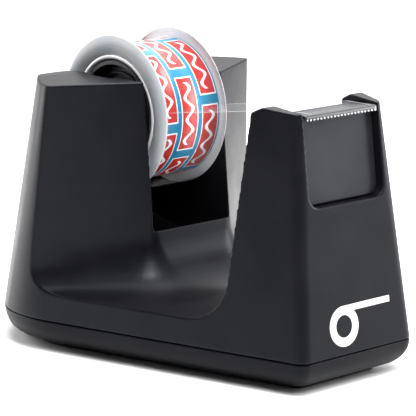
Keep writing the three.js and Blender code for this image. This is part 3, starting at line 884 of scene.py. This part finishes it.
@dataclass
class Housing:
    """The moulded body: cheeks beside the roll, roll well, finger valley and cutter tower."""

    plan: Plan
    axle: Vector
    cheek_top: float = 62.4
    fall_x: float = -28.0
    fall_radius: float = 43.0
    fall_turn: float = 0.62
    tower_top: tuple[Point, ...] = ((32.5, 60.2), (36.5, 62.2), (46.5, 61.2))
    wall: float = 2.2
    well_half: float = 12.0
    well_radius: float = 30.5
    groove_half: float = 4.0
    groove_depth: float = 1.6
    valley_floor: float = 14.0
    valley_rear: float = -6.3
    rear_lean: float = 0.095
    valley_front: float = 34.1
    front_lean: float = 0.07
    rear_fillet: float = 12.0
    front_fillet: float = 9.0
    side_fillet: float = 6.0
    diagonal_lead: float = 1.0
    ridge: float = 0.4
    ridge_foot: float = 9.5
    platform: float = 60.4
    platform_x: float = 38.0
    recess_half: float = 11.7
    recess_bottom: float = 40.7
    recess_depth: float = 2.0
    recess_corner: float = 3.0
    carrier_thickness: float = 2.0
    pocket_bottom: float = 30.0
    channel_radius: float = 3.6
    channel_setback: float = 0.6
    tray_top: float = 11.6
    tray_wall: float = 3.0
    rear_room: tuple[Corner, Corner] = ((-37.6, -16.2, 9.0), (-7.4, 16.2, 17.0))
    front_room: tuple[Corner, Corner] = ((34.2, -11.3, 9.0), (44.6, 11.3, 29.0))
    screw_room: tuple[Corner, Corner] = ((36.2, -11.0, 24.0), (39.9, 11.0, 54.5))
    stud_height: float = 50.0
    stud_side: float = 6.0
    stud_depth: float = 8.0
    stud_radius: float = 2.6
    gap: float = 0.3
    in_valley: float = 20.0
    past_end: float = 70.0
    past_side: float = 60.0
    past_top: float = 80.0
    voxel: float = 0.25
    passes: int = 8

    def valley(self) -> BMesh:
        """Builds the finger valley as a body to take away."""
        far = self.past_side
        heights = [*rounding_heights(self.rear_fillet, 14), *(15.0 + 3.0 * i for i in range(15))]
        levels = []
        for height in heights:
            z = self.valley_floor + height
            faces = self.plan.faces(z)
            end = faces.corner - faces.along * self.diagonal_lead
            middle = Vector((self.valley_rear + self.rear_lean * (self.cheek_top - z), self.well_half))
            way = (end - middle).normalized()
            offset = quarter_round(self.rear_fillet, height)
            side = Vector((end.x + quarter_round(self.side_fillet, height) / way.y, end.y))
            corner = Vector((middle.x + offset, middle.y + offset * (1 - way.y) / -way.x))
            outer = corner.x + (side.x - corner.x) * (far - corner.y) / (side.y - corner.y)
            tower = (self.valley_front - self.front_lean * (self.cheek_top - z)
                     - quarter_round(self.front_fillet, height))
            low = max(1 - height / (2 * self.rear_fillet), 0.0)
            ridge = self.ridge + self.ridge_foot * low ** 3
            start = corner + (Vector((outer, far)) - corner).normalized() * ridge
            half = run((outer, far), tuple(start), steps=24)
            half += blend(tuple(start), tuple(corner), (corner.x, corner.y - ridge), steps=8)
            mirrored = [(x, -y) for x, y in reversed(half)]
            levels.append((z, [(tower, -far), (tower, far), *half, *mirrored]))
        return loft(levels)

    def well_outline(self) -> Outline:
        """Gives the U-shaped outline of the roll well, seen from the side."""
        return self.slot_outline(self.well_radius, 72)

    def slot_outline(self, half: float, steps: int) -> Outline:
        """Gives the side view of an upright slot whose round bottom is about the axle.

        Args:
            half: Half of the slot's width, and the radius of its bottom.
            steps: Number of steps along the bottom.

        Returns:
            Its corners in X and Z.
        """
        bottom = arc((self.axle.x, self.axle.z), half, 180.0, 360.0, steps)
        return [(self.axle.x + half, self.past_top), (self.axle.x - half, self.past_top), *bottom]

    def recess_outline(self, margin: float) -> Outline:
        """Gives the outline of the cutter's recess from the front, in Y and Z."""
        half, low = self.recess_half + margin, self.recess_bottom - margin
        radius = self.recess_corner + margin
        left = arc((-half + radius, low + radius), radius, 180.0, 270.0, steps=10)
        right = arc((half - radius, low + radius), radius, 270.0, 360.0, steps=10)
        return [(half, self.past_top), (-half, self.past_top), *left, *right]

    def top_profile(self) -> Outline:
        """Gives the outline above the body that is taken away, seen from the side."""
        steps = 24
        fall = []
        for i in range(steps, -1, -1):
            angle = self.fall_turn * i / steps
            fall.append((self.fall_x - self.fall_radius * math.sin(angle),
                         self.cheek_top - self.fall_radius * (1 - math.cos(angle))))
        front = (self.past_end, self.tower_top[-1][1])
        return [(-self.past_end, self.past_top), (-self.past_end, fall[0][1]), *fall,
                (self.in_valley, self.cheek_top), *self.tower_top, front, (self.past_end, self.past_top)]

    def pocket_profile(self) -> Outline:
        """Gives the side view of the pocket that holds the cutter's carrier."""
        back = self.recess_depth + self.carrier_thickness + self.gap
        shelf = self.platform - self.carrier_thickness - self.gap
        low, high = self.pocket_bottom, self.past_top
        return [(self.plan.front_at(low) - back, low), (self.past_end, low), (self.past_end, high),
                (self.platform_x, high), (self.platform_x, shelf),
                (self.plan.front_at(shelf) - back, shelf)]

    def channel_profile(self) -> Outline:
        """Gives the side view of the tape's channel, rounded over towards the valley."""
        radius = self.channel_radius
        middle = (self.platform_x - self.channel_setback, self.platform - radius)
        return [(self.in_valley, self.past_top), (self.in_valley, self.platform - 2 * radius),
                *arc(middle, radius, 180.0, 90.0, steps=12),
                (self.past_end, self.platform), (self.past_end, self.past_top)]

    def cavities(self) -> list[BMesh]:
        """Builds the hollow inside: a shallow tray and rooms for the two weights and the screws."""
        plan, wall = self.plan, self.tray_wall
        tray = loft([(plan.seam - wall, plan.outline(plan.seam, wall)),
                     (self.tray_top, plan.outline(self.tray_top, wall))])
        lean = math.atan(plan.front_draft)
        way = Vector((math.cos(lean), 0.0, math.sin(lean)))
        face = plan.front_at(self.stud_height) - self.recess_depth
        mouths = [Vector((face, y, self.stud_height)) for y in (-self.stud_side, self.stud_side)]
        studs = [rod(mouth - way * self.stud_depth, mouth + way, self.stud_radius) for mouth in mouths]
        rooms = [block(*room) for room in (self.rear_room, self.front_room, self.screw_room)]
        return [tray, *rooms, *studs]

    def build(self, palette: Palette) -> None:
        """Builds the housing and dresses it."""
        plan = self.plan
        heights = [plan.seam, *(11.0 + 3.0 * i for i in range(20))]
        shell = make_object("body_shell", loft([(z, plan.outline(z)) for z in heights]))
        combine(shell, prism(self.top_profile(), "y", -self.past_side, self.past_side))
        combine(shell, self.valley())
        well = make_object("well_operand", prism(self.well_outline(), "y", -self.well_half, self.well_half))
        foot = plan.rear_radius - self.wall + plan.rear_draft * plan.seam
        within_wall = rod(Vector((plan.rear_centre, 0, 0)), Vector((plan.rear_centre, 0, self.past_top)),
                          foot, foot - plan.rear_draft * self.past_top, FINE_TURN)
        combine(well, within_wall, Cut.KEEP_COMMON)
        combine(shell, well)
        reach = self.well_half + self.groove_depth
        combine(shell, prism(self.slot_outline(self.groove_half, 32), "y", -reach, reach))
        recess = prism(self.recess_outline(0.0), "x", self.in_valley, self.past_end)
        pocket = make_object("pocket_operand", recess)
        depth = prism(self.pocket_profile(), "y", -self.past_side, self.past_side)
        combine(pocket, depth, Cut.KEEP_COMMON)
        combine(shell, pocket)
        combine(shell, prism(self.channel_profile(), "y", -self.recess_half, self.recess_half))
        for cavity in self.cavities():
            combine(shell, cavity)
        soften(shell, self.voxel, self.passes)
        place_piece(shell, Body.STAND, palette.body, ["housing"])


# ------------------------------------------------------------------ base


@dataclass
class Base:
    """The base pan with its rounded foot, the anti-slip pad, the screws and the weights."""

    plan: Plan
    bottom: float = 1.1
    fillet: float = 6.0
    floor: float = 2.2
    seam_gap: float = 0.16
    shy: float = 0.05
    wall: float = 2.6
    top_edge: float = 0.2
    boss_radius: float = 3.5
    hole_radius: float = 1.7
    head_room_radius: float = 3.0
    head_room_depth: float = 1.8
    soft_edge: float = 0.15
    pad_inset: float = 6.6
    pad_thickness: float = 1.0
    pad_edge: float = 0.25
    screw_tip: float = 11.4
    screw_seat: float = 2.9
    screw_low: float = 1.3
    shank_radius: float = 1.4
    head_radius: float = 2.7
    cross_reach: float = 1.5
    cross_half: float = 0.28
    cross_top: float = 2.3
    screws: tuple[Point, ...] = ((12, 17), (12, -17), (-33, 20), (-33, -20))

    def pan(self, palette: Palette) -> None:
        """Builds the pan: a tray that the housing stands on."""
        plan = self.plan
        top, above = plan.seam - self.seam_gap, plan.seam + 1
        levels = [(self.bottom + h, plan.outline(plan.seam, self.shy + quarter_round(self.fillet, h)))
                  for h in rounding_heights(self.fillet, 10)]
        levels += [(top - self.top_edge, plan.outline(plan.seam, self.shy)),
                   (top, plan.outline(plan.seam, self.top_edge))]
        pan = make_object("base_tray", loft(levels))
        combine(pan, loft([(self.bottom + self.floor, plan.outline(plan.seam, self.fillet)),
                           (above, plan.outline(plan.seam, self.wall))]))
        seat = self.bottom + self.head_room_depth
        for x, y in self.screws:
            combine(pan, rod(Vector((x, y, self.bottom)), Vector((x, y, top)), self.boss_radius), Cut.JOIN)
            combine(pan, rod(Vector((x, y, 0)), Vector((x, y, above)), self.hole_radius))
            combine(pan, rod(Vector((x, y, 0)), Vector((x, y, seat)), self.head_room_radius))
        flat = pan.modifiers.new("even_normals", "WEIGHTED_NORMAL")
        flat.keep_sharp = False
        soft = pan.modifiers.new("soft_edges", "BEVEL")
        soft.width = self.soft_edge * MM
        soft.segments = 2
        soft.limit_method = "ANGLE"
        soft.angle_limit = math.radians(40)
        place_piece(pan, Body.STAND, palette.base, ["base_pan"])

    def foot(self, palette: Palette) -> None:
        """Builds the anti-slip pad with softened edges."""
        outline = self.plan.outline(self.plan.seam, self.pad_inset)
        pad = bevelled(loft([(0.0, outline), (self.pad_thickness, outline)]), self.pad_edge)
        place_piece(make_object("foot_sheet", pad), Body.STAND, palette.rubber, ["foot_pad"])

    def screw(self, index: int, place: Point, palette: Palette) -> None:
        """Builds one pan-head screw with a cross recess, seen from below."""
        tip, seat, low = self.screw_tip, self.screw_seat, self.screw_low
        shank, head = self.shank_radius, self.head_radius
        profile = [(0.0, tip), (0.5, tip), (shank, tip - 1.0), (shank, seat), (head, seat),
                   (head, seat - 0.9), (head - 0.2, seat - 1.3), (head - 0.7, low + 0.05), (0.0, low)]
        body = spun(profile, Vector(), segments=32, axis="z", closed=False)
        screw = make_object(f"base_screw_head_{index}", body)
        long, wide = self.cross_reach, self.cross_half
        for x, y in ((long, wide), (wide, long)):
            combine(screw, block((-x, -y, 0.0), (x, y, self.cross_top)))
        screw.data.transform(Matrix.Translation(Vector((*place, 0.0)) * MM))
        screw.data.set_sharp_from_angle(angle=math.radians(35))
        place_piece(screw, Body.STAND, palette.screw, [f"base_screw_{index}"])

    def build(self, palette: Palette, nodes: dict[str, bpy.types.Object]) -> None:
        """Builds the base and dresses the parts that the frame already holds."""
        self.pan(palette)
        self.foot(palette)
        for index, place in enumerate(self.screws, 1):
            self.screw(index, place, palette)
        dress(nodes, ("ballast_rear", "ballast_front"), palette.ballast)
        dress(nodes, ("carrier_screw_1", "carrier_screw_2"), palette.screw)


def dress(nodes: dict[str, bpy.types.Object], names: Iterable[str], material: bpy.types.Material) -> None:
    """Gives the frame's own nodes a finish.

    Args:
        nodes: The frame's objects by name.
        names: Nodes to dress.
        material: Their finish.
    """
    for name in names:
        mesh = nodes[name].data
        mesh.materials.clear()
        mesh.materials.append(material)
        LOG.info("%s dressed", name)


# ------------------------------------------------------------------ cutter


@dataclass
class Cutter:
    """The insert with its recessed panel and platform, the toothed blade and the tape's end."""

    plan: Plan
    housing: Housing
    teeth: int = 21
    pitch: float = 1.06
    blade_depth: float = 2.6
    lip: float = 1.5
    tooth: float = 0.7
    lip_tilt: float = math.radians(20)
    blade_thickness: float = 0.4
    blade_sheet: float = 0.28
    blade_edge: float = 0.05
    bend: float = 0.5
    notch: float = 0.02
    seat_gap: float = 0.1
    panel_play: float = 0.12
    panel_voxel: float = 0.2
    panel_passes: int = 3
    tape_half: float = 9.5
    tape_lift: float = 0.15
    tape_sheet: float = 0.06
    tail_gap: float = 0.4
    tail_rise: float = 2.5
    tail_short: float = 0.2

    def panel(self, palette: Palette) -> None:
        """Builds the insert: a leaning front panel that turns into the platform."""
        plan, house = self.plan, self.housing
        low = house.recess_bottom + house.gap
        under = house.platform - house.carrier_thickness

        def face(z: float) -> float:
            """Gives where the panel's front stands at a height."""
            return plan.front_at(z) - house.recess_depth

        thick = house.carrier_thickness
        section = [(face(low) - thick, low), (face(low), low), (face(house.platform), house.platform),
                   (house.platform_x + house.gap, house.platform), (house.platform_x + house.gap, under),
                   (face(under) - thick, under)]
        front_view = prism(house.recess_outline(-self.panel_play), "x", house.in_valley, house.past_end)
        panel = make_object("cutter_panel", front_view)
        combine(panel, prism(section, "y", -house.past_side, house.past_side), Cut.KEEP_COMMON)
        soften(panel, self.panel_voxel, self.panel_passes)
        place_piece(panel, Body.STAND, palette.panel, ["cutter_carrier"])

    def blade(self, palette: Palette) -> None:
        """Builds the blade: a strip along the platform's edge that bends into a toothed lip."""
        half = self.teeth * self.pitch / 2
        front = self.plan.front_at(self.housing.platform)
        top = self.housing.platform + self.seat_gap + self.blade_thickness
        turn, bend, steps = math.pi / 2 - self.lip_tilt, self.bend, 4
        path = [(front - self.blade_depth, top), (front - bend, top)]
        for i in range(1, steps + 1):
            angle = turn * i / steps
            path.append((front - bend + bend * math.sin(angle), top - bend * (1 - math.cos(angle))))
        down = Vector((math.cos(turn), -math.sin(turn)))
        last = Vector(path[-1])
        path.append(tuple(last + down * (self.lip - self.tooth - bend)))
        path.append(tuple(last + down * (self.lip - bend)))
        bm, tips = strip([-half + i * self.pitch / 2 for i in range(2 * self.teeth + 1)], path)
        for vertex in tips:
            if round((vertex.co.y + half) / (self.pitch / 2)) % 2 == 0:
                vertex.co.x, vertex.co.z = path[-2]
                vertex.co += Vector((down.x, 0.0, down.y)) * self.notch
        blade = make_object("toothed_blade", bm)
        wall = blade.modifiers.new("sheet", "SOLIDIFY")
        wall.thickness = self.blade_sheet * MM
        wall.offset = -1.0
        edge = blade.modifiers.new("edges", "BEVEL")
        edge.width = self.blade_edge * MM
        edge.segments = 2
        edge.limit_method = "ANGLE"
        edge.angle_limit = math.radians(50)
        place_piece(blade, Body.STAND, palette.blade, ["cutter_blade"])

    def tail(self, palette: Palette, axle: Vector, roll_radius: float) -> None:
        """Builds the loose end of the tape from the roll to the blade."""
        rest = self.housing.platform + self.seat_gap + self.blade_thickness + self.tape_lift
        start = (axle.x + roll_radius + self.tail_gap, axle.z + self.tail_rise)
        corner = (self.housing.platform_x, rest)
        end = (self.plan.front_at(self.housing.platform) - self.tail_short, rest)
        path = [*run(start, corner, steps=24), *run(corner, end, steps=6), end]
        count = 12
        bm, _ = strip([self.tape_half * (2 * i / count - 1) for i in range(count + 1)], path)
        tail = make_object("tape_end", bm)
        sheet = tail.modifiers.new("film", "SOLIDIFY")
        sheet.thickness = self.tape_sheet * MM
        sheet.offset = 1.0
        place_piece(tail, Body.STAND, palette.tail, ["tape_tail"])

    def build(self, palette: Palette, axle: Vector, roll_radius: float) -> None:
        """Builds the cutter's pieces."""
        self.panel(palette)
        self.blade(palette)
        self.tail(palette, axle, roll_radius)


@dataclass
class FrontMark:
    """A small plain sign of a tape roll, printed low on the tower's front."""

    plan: Plan
    middle: Vector = Vector((0.0, -4.2, 14.0))
    radius: float = 4.5
    hole: float = 2.5
    stroke: float = 1.4
    tail_end: float = 10.6
    layer: float = 0.05
    proud: float = 0.02

    def build(self, palette: Palette) -> None:
        """Builds the sign as a thin layer on the leaning front face."""
        bm = bmesh.new()
        middle = (self.middle.y, self.middle.z)
        outer = arc(middle, self.radius, 0.0, 360.0, 72)[:-1]
        inner = arc(middle, self.hole, 0.0, 360.0, 72)[:-1]
        loops = [edges_through(bm, (Vector((0.0, y, z)) for y, z in ring)) for ring in (outer, inner)]
        bmesh.ops.bridge_loops(bm, edges=loops[0] + loops[1])
        top = self.middle.z + self.radius
        leave = math.degrees(math.asin(1 - self.stroke / self.radius))
        bar = [(self.tail_end, top - self.stroke), (self.tail_end, top),
               *arc(middle, self.radius + 0.01, 90.0, leave, 12)]
        bmesh.ops.contextual_create(bm, geom=edges_through(bm, (Vector((0.0, y, z)) for y, z in bar)))
        for vertex in bm.verts:
            vertex.co.x = self.plan.front_at(vertex.co.z) + self.proud
        bmesh.ops.recalc_face_normals(bm, faces=bm.faces[:])
        mark = make_object("roll_sign", bm)
        layer = mark.modifiers.new("layer", "SOLIDIFY")
        layer.thickness = self.layer * MM
        layer.offset = 0.0
        place_piece(mark, Body.STAND, palette.mark)


# ------------------------------------------------------------------ roll


@dataclass
class Roll:
    """The roll of clear tape on its hub, and the axle that it turns on."""

    centre: Vector = Vector((-20.0, 0.0, 53.0))
    tape_half: float = 9.5
    outer: float = 18.7
    core_outer: float = 14.0
    core_inner: float = 13.0
    print_radius: float = 16.3
    hub_radius: float = 12.7
    hub_bore: float = 3.8
    axle_radius: float = 3.5
    axle_half: float = 13.2
    axle_chamfer: float = 0.4
    film_edge: float = 0.25
    band_thickness: float = 0.3
    core_edge: float = 0.2
    hub_shy: float = 0.2
    hub_edge: float = 0.2
    hub_wall: float = 1.6
    hub_parting: float = 0.15
    web_depth: float = 2.4
    sleeve_wall: float = 2.0
    hub_rings: tuple[float, ...] = (9.6, 8.0)
    ring_height: float = 0.5
    segments: int = 160

    def film(self, palette: Palette) -> None:
        """Builds the wound film: milky cut sides and a clear glossy tread."""
        half, inner, round_off = self.tape_half, self.core_outer + 0.1, self.film_edge
        section = [(inner, -half), (self.outer - round_off, -half)]
        section += arc((self.outer - round_off, -half + round_off), round_off, 270.0, 360.0, 4)[1:]
        section += arc((self.outer - round_off, half - round_off), round_off, 0.0, 90.0, 4)
        section += [(inner, half)]
        film = make_object("film_winding", spun(section, self.centre, self.segments))
        film.data.materials.append(palette.wound)
        film.data.materials.append(palette.film)
        for face in film.data.polygons:
            offset = face.center / MM - self.centre
            radius = math.hypot(offset.x, offset.z)
            if radius > self.outer - 0.4 and abs(offset.y) < half - round_off:
                face.material_index = 1
        place_piece(film, Body.ROLL, palette.wound, ["tape_winding"])

    def band(self, palette: Palette) -> None:
        """Builds the printed band under the clear film."""
        half, inner = self.tape_half - self.film_edge, self.print_radius - self.band_thickness
        section = [(inner, -half), (self.print_radius, -half), (self.print_radius, half), (inner, half)]
        band = make_object("printed_band", spun(section, self.centre, self.segments))
        place_piece(band, Body.ROLL, palette.print, ["printed_sleeve"])

    def core(self, palette: Palette) -> None:
        """Builds the white core."""
        half, edge = self.tape_half, self.core_edge
        section = [(self.core_inner, -half + edge), (self.core_inner + edge, -half),
                   (self.core_outer - edge, -half), (self.core_outer, -half + edge),
                   (self.core_outer, half - edge), (self.core_outer - edge, half),
                   (self.core_inner + edge, half), (self.core_inner, half - edge)]
        core = make_object("tape_core", spun(section, self.centre, self.segments))
        place_piece(core, Body.ROLL, palette.core, ["core_ring"])

    def hub(self, side: int, name: str, node: str, palette: Palette) -> None:
        """Builds one half of the hub: a dished disc with rings and a bearing sleeve.

        Args:
            side: -1 for the near half and 1 for the far half.
            name: Name of the piece.
            node: CAD node that it stands for.
            palette: The finishes.
        """
        face, web = self.tape_half - self.hub_shy, self.tape_half - self.web_depth
        rim, sleeve, bore = self.hub_radius, self.hub_bore + self.sleeve_wall, self.hub_bore
        parting, edge, crest = self.hub_parting, self.hub_edge, web + self.ring_height
        back, rim_inside = web - self.hub_wall, rim - self.hub_wall
        section = [(bore, parting), (sleeve, parting), (sleeve, back), (rim_inside, back),
                   (rim_inside, parting), (rim, parting), (rim, face - edge), (rim - edge, face),
                   (rim - 1.0, face), (rim - 1.2, face - edge), (rim - 1.8, web)]
        for radius in self.hub_rings:
            section += [(radius + 0.35, web), (radius + 0.25, crest), (radius - 0.25, crest),
                        (radius - 0.35, web)]
        section += [(sleeve + 0.1, web), (sleeve - 0.3, face - edge), (sleeve - 0.5, face),
                    (bore + edge, face), (bore, face - edge)]
        hub = make_object(name, spun([(r, side * y) for r, y in section], self.centre, FINE_TURN))
        hub.data.set_sharp_from_angle(angle=math.radians(35))
        place_piece(hub, Body.ROLL, palette.hub, [node])

    def axle(self, palette: Palette) -> None:
        """Builds the axle with chamfered ends."""
        reach = Vector((0, self.axle_half, 0))
        pin = rod(self.centre - reach, self.centre + reach, self.axle_radius, segments=64)
        axle = make_object("roll_axle", bevelled(pin, self.axle_chamfer, 3))
        place_piece(axle, Body.AXLE, palette.hub, ["axle"])

    def build(self, palette: Palette) -> None:
        """Builds every piece of the roll."""
        self.film(palette)
        self.band(palette)
        self.core(palette)
        self.hub(-1, "hub_half_near", "hub_near", palette)
        self.hub(1, "hub_half_far", "hub_far", palette)
        self.axle(palette)


# ------------------------------------------------------------------ studio


def aim(name: str, data: bpy.types.ID, place: Vector, target: Vector) -> bpy.types.Object:
    """Adds a lamp or a camera to the scene, turned to a point.

    Args:
        name: Name of the object.
        data: The lamp or camera.
        place: Where it stands, in millimetres.
        target: Point that it looks at, in millimetres.

    Returns:
        The object that holds it.
    """
    holder = bpy.data.objects.new(name, data)
    holder.location = place * MM
    holder.rotation_mode = "QUATERNION"
    holder.rotation_quaternion = (target - place).to_track_quat("-Z", "Y")
    bpy.context.scene.collection.objects.link(holder)
    return holder


@dataclass
class Softbox:
    """A large soft lamp."""

    name: str
    place: Vector
    size: Point
    power: float

    def build(self, target: Vector) -> None:
        """Adds the lamp, turned to a point."""
        lamp = bpy.data.lights.new(self.name, "AREA")
        lamp.shape = "RECTANGLE"
        lamp.size, lamp.size_y = self.size[0] * MM, self.size[1] * MM
        lamp.energy = self.power
        aim(self.name, lamp, self.place, target)


@dataclass
class Studio:
    """Camera, lamps, backdrop light and floor."""

    eye: Vector = Vector((401.29, -368.33, 148.52))
    target: Vector = Vector((-6.07, 7.80, 29.88))
    lens: float = 205.35
    backdrop: float = 1.0
    fill: float = 0.9
    dim: float = 0.02
    daylight_power: float = 1.9
    daylight_place: Vector = Vector((-200.0, 400.0, 600.0))
    bright_side: Vector = Vector((-0.62, 0.66, 0.42))
    dim_from: float = -0.35
    bright_from: float = 0.75
    middle: Vector = Vector((0.0, 0.0, 30.0))
    floor_half: float = 3000.0

    def camera(self) -> None:
        """Adds the camera."""
        camera = bpy.data.cameras.new("camera")
        camera.lens = self.lens
        camera.sensor_width = 36.0
        camera.clip_start, camera.clip_end = 0.01, 20.0
        bpy.context.scene.camera = aim("camera", camera, self.eye, self.target)

    def backdrop_light(self) -> None:
        """Makes a white surround that lights the object from behind more than from in front."""
        world = bpy.data.worlds.new("studio")
        world.use_nodes = True
        tree = world.node_tree
        shade = tree.nodes["Background"]
        shade.inputs["Color"].default_value = (1.0, 1.0, 1.0, 1.0)
        place = tree.nodes.new("ShaderNodeTexCoord")
        turned = tree.nodes.new("ShaderNodeVectorMath")
        turned.operation = "DOT_PRODUCT"
        turned.inputs[1].default_value = self.bright_side.normalized()
        lit = tree.nodes.new("ShaderNodeMapRange")
        lit.interpolation_type = "SMOOTHSTEP"
        for name, value in (("From Min", self.dim_from), ("From Max", self.bright_from),
                            ("To Min", self.dim), ("To Max", self.fill)):
            lit.inputs[name].default_value = value
        path = tree.nodes.new("ShaderNodeLightPath")
        seen = tree.nodes.new("ShaderNodeMix")
        seen.inputs["B"].default_value = self.backdrop
        tree.links.new(place.outputs["Generated"], turned.inputs[0])
        tree.links.new(turned.outputs["Value"], lit.inputs["Value"])
        tree.links.new(path.outputs["Is Camera Ray"], seen.inputs["Factor"])
        tree.links.new(lit.outputs["Result"], seen.inputs["A"])
        tree.links.new(seen.outputs["Result"], shade.inputs["Strength"])
        bpy.context.scene.world = world

    def daylight(self) -> None:
        """Adds an even soft light from behind, which keeps the whole floor pale."""
        lamp = bpy.data.lights.new("daylight", "SUN")
        lamp.energy = self.daylight_power
        lamp.angle = math.radians(70)
        aim("daylight", lamp, self.daylight_place, self.middle)

    def floor(self, palette: Palette) -> None:
        """Lays the floor."""
        bm = bmesh.new()
        bmesh.ops.create_grid(bm, x_segments=2, y_segments=2, size=self.floor_half)
        floor = make_object("floor", bm)
        floor.data.materials.append(palette.floor)

    def build(self, palette: Palette) -> None:
        """Sets up the whole studio."""
        self.camera()
        self.backdrop_light()
        self.floor(palette)
        lamps = [
            Softbox("overhead", Vector((-120.0, 60.0, 480.0)), (360.0, 360.0), 2.4),
            Softbox("right", Vector((260.0, 460.0, 160.0)), (260.0, 260.0), 2.2),
            Softbox("rear_left", Vector((-430.0, -170.0, 180.0)), (140.0, 360.0), 1.6),
            Softbox("over_tower", Vector((300.0, -110.0, 330.0)), (90.0, 90.0), 0.7),
            Softbox("into_well", Vector((190.0, -60.0, 420.0)), (80.0, 80.0), 1.6),
        ]
        for lamp in lamps:
            lamp.build(self.middle)
        self.daylight()
        settings = bpy.context.scene.view_settings
        settings.view_transform = "Standard"
        settings.look = "None"


# ------------------------------------------------------------------ main


def main(frame: dict) -> None:
    """Builds every part of the dispenser on the frame.
    """
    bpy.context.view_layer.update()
    plan = Plan()
    roll = Roll()
    palette = Palette(roll.centre, roll.tape_half)
    housing = Housing(plan, roll.centre)
    housing.build(palette)
    Base(plan).build(palette, frame["nodes"])
    Cutter(plan, housing).build(palette, roll.centre, roll.outer)
    FrontMark(plan).build(palette)
    roll.build(palette)
    Studio().build(palette)


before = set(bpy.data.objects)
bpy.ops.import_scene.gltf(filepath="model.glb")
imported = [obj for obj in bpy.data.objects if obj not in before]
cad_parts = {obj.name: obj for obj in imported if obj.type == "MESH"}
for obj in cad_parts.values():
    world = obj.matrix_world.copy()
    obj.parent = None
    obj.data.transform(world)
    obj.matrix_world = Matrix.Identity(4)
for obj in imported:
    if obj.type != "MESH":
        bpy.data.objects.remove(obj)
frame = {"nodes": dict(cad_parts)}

if __name__ == "__main__":
    logging.basicConfig(level=logging.INFO, format="%(name)s: %(message)s")
    main(frame)
